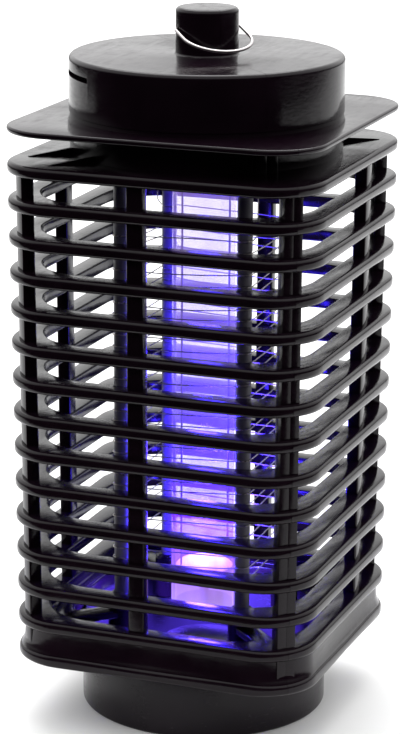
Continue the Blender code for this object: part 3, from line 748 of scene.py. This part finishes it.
def make_head(name, side):
    """Half of neck, cap and knob, with the holes for bail, cord bush, vent and screw."""
    body = Body()
    turn_half(body, head_profile(), side)
    head = body.make(name + "_head", BLACK, "housing", name + "_shell")
    knob_inside, through_knob = 0.007, 0.008
    bail_start = UP * BAIL_PIVOT_Z + DRAW * side * knob_inside
    through_wall = 0.012
    bush_start = UP * bush_height() - SEAM * (BUSH_START - 0.0005)
    cutters = [rod_cutter("bail_hole", BAIL_RADIUS + CLEARANCE, bail_start, DRAW * side,
                          through_knob),
               rod_cutter("bush_hole", BUSH_HOLE_RADIUS, bush_start, -SEAM, through_wall)]
    if side < 0:
        cutters.append(vent_cutter())
    else:
        cutters.append(screw_cutter("seam_screw_top"))
    cut(head, cutters)


def bush_height():
    return (BUSH_LOW.z + BUSH_HIGH.z) / 2


def make_roof(name, side):
    """The thin square plate round the foot of the cap, and the webs below it."""
    body = Body()
    outer = half_path(HALF_WIDTH, CORNER_RADIUS)
    inner = circle_path(HEAD_RADIUS - 0.0020, outer)
    sweep_half(body, outer, inner, edge_section(ROOF_BOTTOM, ROOF_TOP, ROOF_ROUNDING), side)
    for end in (1, -1):
        neck_web(body, side, end)
    for offset in (-RIB_OFFSET, RIB_OFFSET):
        rib(body, side, offset)
    body.make(name + "_roof", BLACK, "housing", name + "_shell")


def neck_web(body, side, end):
    """Half of the upright web on the neck, at one end of the seam."""
    width, depth, proud = 0.0042, 0.0024, 0.0006
    overlap = 0.001                     # into the roof plate
    middle = SEAM * (NECK_RADIUS + proud) * end + DRAW * side * (SEAM_GAP + width) / 2
    middle += UP * (FLANGE_Z + ROOF_BOTTOM + overlap) / 2
    size = (depth, width, ROOF_BOTTOM - FLANGE_Z + overlap)
    rounded_bar(body, middle, SEAM * end, UP, size, 0.0005)


RIB_OFFSET = 0.0095                     # from the middle of its corner
RIB_HALF_WIDTH = 0.0006


def rib(body, side, offset):
    """A low web from a corner of the flange up to the neck."""
    low = FLANGE_Z
    top = FLANGE_Z + LOUVRE_THICKNESS / 2
    start, knee, end = 0.0480, 0.0640, 0.0660
    outline = [(start, low), (end, low), (end, top + 0.0002), (knee, top + 0.0005),
               (start, top + 0.0022)]
    rings = []
    for across in (-RIB_HALF_WIDTH, RIB_HALF_WIDTH):
        rings.append([DRAW * side * out + SEAM * (offset + across) + UP * z
                      for out, z in outline])
    body.loft(rings)


def wall_section(middle, plate_top, top):
    """Section of the base wall: it draws in from the plate's edge up to the louvres."""
    inset = POST_INSET - 0.0004
    return [(0, 0, middle), (0, 0, plate_top - 0.0010), (0, inset * 0.5, plate_top + 0.0008),
            (0, inset * 0.85, plate_top + 0.0030), (0, inset, top - 0.0020),
            (0, inset, top), (1, 0, top), (1, 0, middle)]


def floor_section(middle, top):
    """Section of the base floor: it slopes down to a rounded lip round the opening."""
    lip = BASE_FLOOR_TOP
    return [(0, 0, middle), (0, 0, top), (0, 0.0014, top - 0.0010), (1, -0.0034, lip + 0.0001),
            (1, -0.0008, lip), (1, 0, lip - 0.0008), (1, 0, middle)]


def make_base(name, side):
    """Base plate, the low wall under the last louvre, and the sloping floor inside."""
    body = Body()
    half = level_half(BASE_LEVEL)
    middle = level_z(BASE_LEVEL)
    low, high = middle - LOUVRE_THICKNESS / 2, middle + LOUVRE_THICKNESS / 2
    outer = half_path(half, CORNER_RADIUS)
    opening = half_path(BASE_OPENING, BASE_OPENING_CORNER)
    sweep_half(body, outer, opening, edge_section(low, high, PLATE_ROUNDING, 0.0004), side)
    back = 0.0004                       # of the wall's foot from the plate's edge
    wall_out = half_path(half - back, CORNER_RADIUS - back)
    wall_in = half_path(half - LOUVRE_DEPTH + 0.0010, INNER_CORNER_RADIUS - 0.002)
    wall = wall_section(middle, high, level_z(LOUVRE_COUNT) - 0.0008)
    sweep_half(body, wall_out, wall_in, wall, side)
    floor_out = half_path(level_half(LOUVRE_COUNT) - LOUVRE_DEPTH + 0.0012,
                          INNER_CORNER_RADIUS)
    slope = floor_section(middle, level_z(LOUVRE_COUNT) - 0.0012)
    sweep_half(body, floor_out, opening, slope, side)
    body.make(name + "_base", BLACK, "housing", name + "_shell")


# ---- fasteners and bush ----------------------------------
SEAM_SCREWS = {             # (where the screw crosses the seam, how far its seat is from there)
    "seam_screw_top": (-SEAM * 0.0360 + UP * 0.2215, 0.0100),
    "seam_screw_base": (-SEAM * 0.0600 + UP * 0.0320, 0.0080),
}
SCREW_HEAD_RADIUS = 0.0025
SCREW_HEAD_HEIGHT = 0.0018
SCREW_SHANK_RADIUS = 0.0013
SCREW_REACH = 0.0090        # of its tip past the seam
RECESS_SIZE = (0.0030, 0.0006, 0.0016)


def screw_cutter(name):
    """The counterbore of a seam screw, from its seat out through the wall."""
    place, seat = SEAM_SCREWS[name]
    radius = SCREW_HEAD_RADIUS + 0.0006
    past_the_wall = 0.040
    return rod_cutter(name + "_seat", radius, place + DRAW * seat, DRAW, past_the_wall)


def make_seam_screw(name):
    """A pan-head screw with a cross recess, which looks along DRAW."""
    place, seat = SEAM_SCREWS[name]
    matrix = along(place + DRAW * (seat + CLEARANCE), DRAW)
    body = Body()
    head, height, shank = SCREW_HEAD_RADIUS, SCREW_HEAD_HEIGHT, SCREW_SHANK_RADIUS
    tip = -seat - SCREW_REACH
    pan = 0.0008
    profile = [(0, tip), (0.0004, tip + 0.0002), (shank, tip + 0.0015), (shank, 0), (head, 0),
               (head, height * 0.45)]
    profile += arc((head - pan, height * 0.45), pan, 20, 60, 2)
    profile += [(head * 0.45, height), (0.0002, height), (0, height)]
    spin(body, profile, matrix, 32)
    screw = body.make(name + "_fine", SCREW, "housing", name)
    slots = []
    for turned in (0, math.pi / 2):
        slot_body = Body()
        centre = matrix @ Vector((0, 0, height))
        across = matrix.to_3x3() @ polar(1, turned)
        rounded_bar(slot_body, centre, across, matrix.to_3x3() @ UP, RECESS_SIZE, 0.0001, 1)
        slots.append(cutter_object("slot", slot_body))
    cut(screw, slots)


def make_cord_bush():
    """Grommet at the back of the head, with two softened lips."""
    length = 0.0092
    bore, neck, lip = 0.0028, 0.0042, 0.0058
    inner_lip_end, outer_lip_start = 0.0024, 0.0066
    soft = 0.0008
    softer = soft * 1.5
    profile = [(bore, 0.0003), (bore + 0.0003, 0)]
    profile += arc((lip - soft, soft), soft, 270, 360, 3)
    profile += arc((lip - soft, inner_lip_end - soft), soft, 0, 90, 3)
    profile += [(neck, inner_lip_end), (neck, outer_lip_start)]
    profile += arc((lip - soft, outer_lip_start + soft), soft, 270, 360, 3)
    profile += arc((lip - softer, length - softer), softer, 0, 90, 4)
    profile += [(bore + 0.0005, length), (bore, length - 0.0005)]
    body = Body()
    start = UP * bush_height() - SEAM * BUSH_START
    turn(body, profile, along(start, -SEAM), 64)
    body.make("cord_bush_fine", RUBBER, "housing", "cord_bush")


# ---- bail and tray ---------------------------------------
def make_bail():
    """A springy wire loop whose ends turn in through the knob's wall."""
    lean = SEAM * math.cos(BAIL_DROOP) - UP * math.sin(BAIL_DROOP)
    pivot = UP * BAIL_PIVOT_Z
    half = BAIL_HALF_WIDTH
    bend = 0.0012
    straight = BAIL_REACH - half
    end = half - 0.0060                 # how far from the middle the wire ends
    flat = [(-end, 0.0)]
    flat += arc((-half + bend, bend), bend, 270, 180, 6)
    flat += arc((0, straight), half, 180, 0, 48)
    flat += arc((half - bend, bend), bend, 360, 270, 6)
    flat.append((end, 0.0))
    path = [pivot + DRAW * x + lean * y for x, y in flat]
    body = Body()
    tube_along(body, path, BAIL_RADIUS, 16)
    body.make("bail_loop", BAIL_STEEL, "bail", "bail", 60)


def make_tray():
    """Foot and insect tray in one cup, with a spigot and a raised middle."""
    radius = TRAY_HIGH.x
    shoulder = level_z(BASE_LEVEL) - LOUVRE_THICKNESS / 2 - CLEARANCE
    spigot, inner, top = radius - 0.0008, radius - 0.0028, TRAY_HIGH.z
    floor, hub, hub_top, wall = 0.0030, 0.0165, 0.0220, 0.0025
    edge = 0.0012                       # rounding of the hub and of the foot
    hub_fillet, wall_fillet = 0.0015, 0.0025
    chamfer = 0.0004
    shoulder_edge = 0.0005
    profile = [(AXIS_GAP, hub_top)]
    profile += arc((hub - edge, hub_top - edge), edge, 90, 0)
    profile += arc((hub + hub_fillet, floor + hub_fillet), hub_fillet, 180, 270)
    profile += arc((inner - wall_fillet, floor + wall_fillet), wall_fillet, 270, 360)
    profile += [(inner, top - chamfer), (inner + chamfer, top), (spigot - chamfer, top),
                (spigot, top - chamfer), (spigot, shoulder)]
    profile += arc((radius - shoulder_edge, shoulder - shoulder_edge), shoulder_edge, 90, 0, 3)
    profile += arc((radius - edge, edge), edge, 0, -90, 6)
    profile += [(hub - wall, 0.0), (hub - wall, hub_top - wall), (AXIS_GAP, hub_top - wall)]
    body = Body()
    turn(body, profile)
    body.make("tray_cup", TRAY_BLACK, "tray", "tray")


# ---- the high-voltage grid -------------------------------
PILLARS = {"pillar_near": SEAM, "pillar_far": -SEAM, "pillar_left": -DRAW,
           "pillar_right": DRAW}
PILLAR_REACH = PILLAR_OFFSET * math.sqrt(2)
WRAP_RISE = 0.12            # share of a quarter turn's rise that is made round the pillar
WRAP_STEPS = 6
SPAN_STEPS = 12


def quarter_angle(quarter):
    """Direction from the axis to the pillar of a wire's nth quarter turn."""
    return math.pi / 4 + quarter * math.pi / 2


def wrap_height(quarter, share):
    """Height of the live wire on its nth quarter, at a share of that pillar's wrap."""
    return WIRE_FIRST_Z + WIRE_PITCH * (quarter + share * WRAP_RISE) / 4


def groove_heights(direction):
    """Heights at which the two wires lie against a pillar."""
    on_this_axis = 0.9
    heights = []
    for quarter in range(4 * WIRE_TURNS):
        if abs(polar(1, quarter_angle(quarter)).dot(direction)) > on_this_axis:
            heights.append(wrap_height(quarter, 0.5))
    return heights


def make_pillars():
    """Moulded pillars, notched where the wires lie, with a chamfer at each end."""
    radius, bottom, top = PILLAR_RADIUS, PILLAR_LOW.z, PILLAR_HIGH.z
    chamfer = 0.0004
    notch, deep = 0.00045, 0.00022      # half the height of a notch, and its depth
    for name, direction in PILLARS.items():
        profile = [(0, bottom), (radius - chamfer, bottom), (radius, bottom + chamfer)]
        for height in groove_heights(direction):
            profile += [(radius, height - notch), (radius - deep, height - notch * 0.3),
                        (radius - deep, height + notch * 0.3), (radius, height + notch)]
        profile += [(radius, top - chamfer), (radius - chamfer, top), (0, top)]
        body = Body()
        spin(body, profile, Matrix.Translation(direction * PILLAR_REACH), 40)
        body.make(name + "_post", INSULATOR, "housing", name, 30)


def wire_path(turned):
    """One wire round the pillars: taut at the wraps and a little slack between them."""
    wrap = PILLAR_RADIUS + WIRE_RADIUS + 0.00012
    points = []
    for quarter in range(4 * WIRE_TURNS):
        middle = quarter_angle(quarter)
        pillar = polar(PILLAR_REACH, middle)
        slip = RANDOM.uniform(-0.0003, 0.0003)
        wrapped = []
        for step in range(WRAP_STEPS + 1):
            share = step / WRAP_STEPS
            ring = polar(wrap, middle + (share - 0.5) * math.pi / 2)
            wrapped.append(pillar + ring + UP * (wrap_height(quarter, share) + slip))
        if points:
            points += wire_span(points[-1], wrapped[0])
        points += wrapped
    points += wire_lead(points[-1])
    spin_matrix = Matrix.Rotation(turned, 4, "Z")
    return [spin_matrix @ p for p in points]


def wire_span(last, first):
    """The free stretch from one pillar to the next, which sags and bows a little."""
    sag = RANDOM.uniform(-0.0011, 0.0005)
    bow = RANDOM.uniform(-0.0004, 0.0006)
    out = ((last + first) / 2).to_2d().normalized().to_3d()
    points = []
    for step in range(1, SPAN_STEPS):
        share = step / SPAN_STEPS
        swell = math.sin(math.pi * share)
        points.append(last.lerp(first, share) + UP * sag * swell + out * bow * swell)
    return points


def wire_lead(last):
    """The wire's upright end beside its last pillar, up to the deck."""
    pillar = SEAM * PILLAR_REACH
    lead = pillar + (last - pillar).to_2d().normalized().to_3d() * LEAD_STAND_OFF
    return [lead + UP * (last.z + 0.0020), lead + UP * (last.z + 0.0060),
            lead + UP * WIRE_TOP_Z]


def make_grid_wires():
    """The live and the neutral wire, half a turn apart."""
    for name, turned in (("grid_wire_live", 0.0), ("grid_wire_neutral", math.pi)):
        body = Body()
        tube_along(body, wire_path(turned), WIRE_RADIUS, 8)
        body.make(name + "_fine", WIRE, "housing", name, 60)


def boss_profile():
    """Closed profile of a boss that holds a pillar."""
    bore = PILLAR_RADIUS + CLEARANCE
    chamfer, edge, mouth = 0.0004, 0.0007, 0.0003
    shoulder = BOSS_TOP - 0.0024
    profile = [(bore, PILLAR_LOW.z), (BOSS_RADIUS - chamfer, BOSS_BOTTOM),
               (BOSS_RADIUS, BOSS_BOTTOM + chamfer), (BOSS_RADIUS, shoulder)]
    profile += arc((BOSS_RADIUS - edge, shoulder + edge), edge, 0, 90)
    profile += arc((PILLAR_RADIUS + 0.0009, BOSS_TOP - mouth), mouth, 0, 90, 2)
    return profile + [(bore, BOSS_TOP)]


def make_grid_base():
    """Frame on the base floor whose arms carry the pillars' bosses."""
    body = Body()
    frame_bottom = BASE_FLOOR_TOP + CLEARANCE
    outer = half_path(GRID_FRAME_HALF, GRID_FRAME_CORNER)
    inner = half_path(BASE_OPENING + 0.0006, BASE_OPENING_CORNER)
    section = edge_section(frame_bottom, GRID_FRAME_TOP, 0.0005, 0.0004)
    right = section_rings(outer, inner, section)
    left = [[mirrored(p) for p in ring] for ring in right]
    body.loft(right[:-1] + left[:0:-1], closed=True)
    start, end = 0.0340, 0.0545         # of an arm, from the axis
    arm_size = (0.0029, 0.0080, end - start)
    for direction in PILLARS.values():
        middle = direction * (start + end) / 2 + UP * (frame_bottom + 0.0015)
        rounded_bar(body, middle, UP, direction, arm_size, 0.0006)
        turn(body, boss_profile(), Matrix.Translation(direction * PILLAR_REACH), 40)
    body.make("grid_carrier", BLACK, "housing", "grid_base")


# ---- the lamp --------------------------------------------
def make_tube():
    """The clear tube with fire-polished ends."""
    outer = TUBE_HIGH.x
    wall = 0.0015
    lip = wall / 2
    profile = arc((outer - lip, TUBE_HIGH.z - lip), lip, 180, 0, 8)
    profile += arc((outer - lip, TUBE_LOW.z + lip), lip, 0, -180, 8)
    body = Body()
    turn(body, profile, steps=96)
    body.make("tube_glass", TUBE, "housing", "lamp_tube")


def make_lens():
    """The frosted, domed lens low down in the tube."""
    low, high = LENS_LOW.z, LENS_HIGH.z
    dome = [(0, low), (LENS_RADIUS - 0.0004, low), (LENS_RADIUS, low + 0.0003)]
    steps = 9
    for step in range(1, steps):
        angle = math.pi / 2 * step / steps
        dome.append((LENS_RADIUS * math.cos(angle), low + (high - low) * math.sin(angle)))
    dome += [(0.0002, high), (0, high)]
    body = Body()
    spin(body, dome, steps=64)
    body.make("lens_dome", LENS, "housing", "led_lens")


def finish_cad_nodes():
    """Better materials for the CAD pieces that keep their own meshes."""
    finishes = dict(CAD_FINISHES)
    for name, count, material in CAD_SETS:
        for number in range(1, count + 1):
            finishes[f"{name}_{number}"] = material
    for name, material in finishes.items():
        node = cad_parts[name]
        node.data.materials.clear()
        node.data.materials.append(material)


# ---- studio ----------------------------------------------
def make_camera():
    """A camera placed and turned by azimuth, pitch, yaw and roll."""
    data = bpy.data.cameras.new("camera")
    data.lens = CAMERA_LENS
    data.sensor_width = CAMERA_SENSOR
    camera = bpy.data.objects.new("camera", data)
    bpy.context.scene.collection.objects.link(camera)
    camera.location = (CAMERA_DISTANCE * math.sin(CAMERA_AZIMUTH),
                       -CAMERA_DISTANCE * math.cos(CAMERA_AZIMUTH), CAMERA_HEIGHT)
    ahead = Vector((-math.sin(CAMERA_YAW) * math.cos(CAMERA_PITCH),
                    math.cos(CAMERA_YAW) * math.cos(CAMERA_PITCH), -math.sin(CAMERA_PITCH)))
    right = Vector((math.cos(CAMERA_YAW), math.sin(CAMERA_YAW), 0))
    above = right.cross(ahead)
    rolled = right * math.cos(CAMERA_ROLL) + above * math.sin(CAMERA_ROLL)
    upward = above * math.cos(CAMERA_ROLL) - right * math.sin(CAMERA_ROLL)
    turn_matrix = Matrix((rolled, upward, -ahead)).transposed()
    camera.rotation_euler = turn_matrix.to_euler()
    bpy.context.scene.camera = camera


def make_floor():
    """A pale floor that starts a little in front of the object and runs far behind it."""
    place = (0, FLOOR_FRONT + FLOOR_DEPTH / 2, 0)
    bpy.ops.mesh.primitive_grid_add(x_subdivisions=8, y_subdivisions=8, size=1.0,
                                    location=place)
    floor = bpy.context.object
    floor.name = "studio_floor"
    floor.scale = (FLOOR_WIDTH, FLOOR_DEPTH, 1)
    floor.data.materials.append(floor_material())


def make_world():
    """White to the eye, and for light a soft white that fades below the front horizon."""
    world = bpy.data.worlds.new("studio")
    bpy.context.scene.world = world
    world.use_nodes = True
    tree = world.node_tree
    background = tree.nodes["Background"]
    place = tree.nodes.new("ShaderNodeTexCoord")
    slope = tree.nodes.new("ShaderNodeVectorMath")
    slope.operation = "DOT_PRODUCT"
    slope.inputs[1].default_value = SKY_SLOPE
    tree.links.new(place.outputs["Generated"], slope.inputs[0])
    fade = tree.nodes.new("ShaderNodeMapRange")
    fade.interpolation_type = "SMOOTHSTEP"
    fade.inputs["From Min"].default_value = SKY_FADE[0]
    fade.inputs["From Max"].default_value = SKY_FADE[1]
    fade.inputs["To Min"].default_value = SKY_LIGHT[0]
    fade.inputs["To Max"].default_value = SKY_LIGHT[1]
    tree.links.new(slope.outputs["Value"], fade.inputs["Value"])
    seen = tree.nodes.new("ShaderNodeLightPath")
    brightest = tree.nodes.new("ShaderNodeMath")
    brightest.operation = "MAXIMUM"
    tree.links.new(fade.outputs["Result"], brightest.inputs[0])
    tree.links.new(seen.outputs["Is Camera Ray"], brightest.inputs[1])
    tree.links.new(brightest.outputs["Value"], background.inputs["Strength"])
    background.inputs["Color"].default_value = (1, 1, 1, 1)


def add_light(name, kind, place, power, colour=(1, 1, 1), size=0.1, target=None):
    """A light that the camera doesn't see, turned towards its target if it has one."""
    data = bpy.data.lights.new(name, kind)
    data.energy = power
    data.color = colour
    if kind == "AREA":
        data.size = size
    else:
        data.shadow_soft_size = size
    light = bpy.data.objects.new(name, data)
    light.location = place
    light.visible_camera = False
    if target is not None:
        way = Vector(target) - Vector(place)
        light.rotation_euler = way.to_track_quat("-Z", "Y").to_euler()
    bpy.context.scene.collection.objects.link(light)
    return light


def make_lights():
    """A soft light from above and behind, and the lamp's own blue light inside."""
    add_light("overhead", "AREA", OVERHEAD_PLACE, OVERHEAD_POWER, size=OVERHEAD_SIZE,
              target=OVERHEAD_TARGET)
    for number, (height, power) in enumerate(LAMP_LIGHTS, 1):
        add_light(f"lamp_{number}", "POINT", (0, 0, height), power, LAMP_BLUE,
                  LAMP_LIGHT_SIZE)
    for number in range(4):
        quarter = Matrix.Rotation(number * math.pi / 2, 3, "Z")
        spot = add_light(f"lamp_foot_{number + 1}", "SPOT", quarter @ Vector(FOOT_FROM),
                         FOOT_POWER, FOOT_BLUE, FOOT_SIZE, quarter @ Vector(FOOT_TO))
        spot.data.spot_size = FOOT_ANGLE
        spot.data.spot_blend = 1.0


make_camera()
make_world()
make_floor()
make_lights()
for half_name, half_side in SIDES.items():
    make_louvres(half_name, half_side)
    make_posts(half_name, half_side)
    make_head(half_name, half_side)
    make_roof(half_name, half_side)
    make_base(half_name, half_side)
make_seam_screw("seam_screw_top")
make_seam_screw("seam_screw_base")
make_cord_bush()
make_bail()
make_tray()
make_pillars()
make_grid_wires()
make_grid_base()
make_tube()
make_lens()
finish_cad_nodes()
bpy.context.scene.view_settings.view_transform = "Standard"
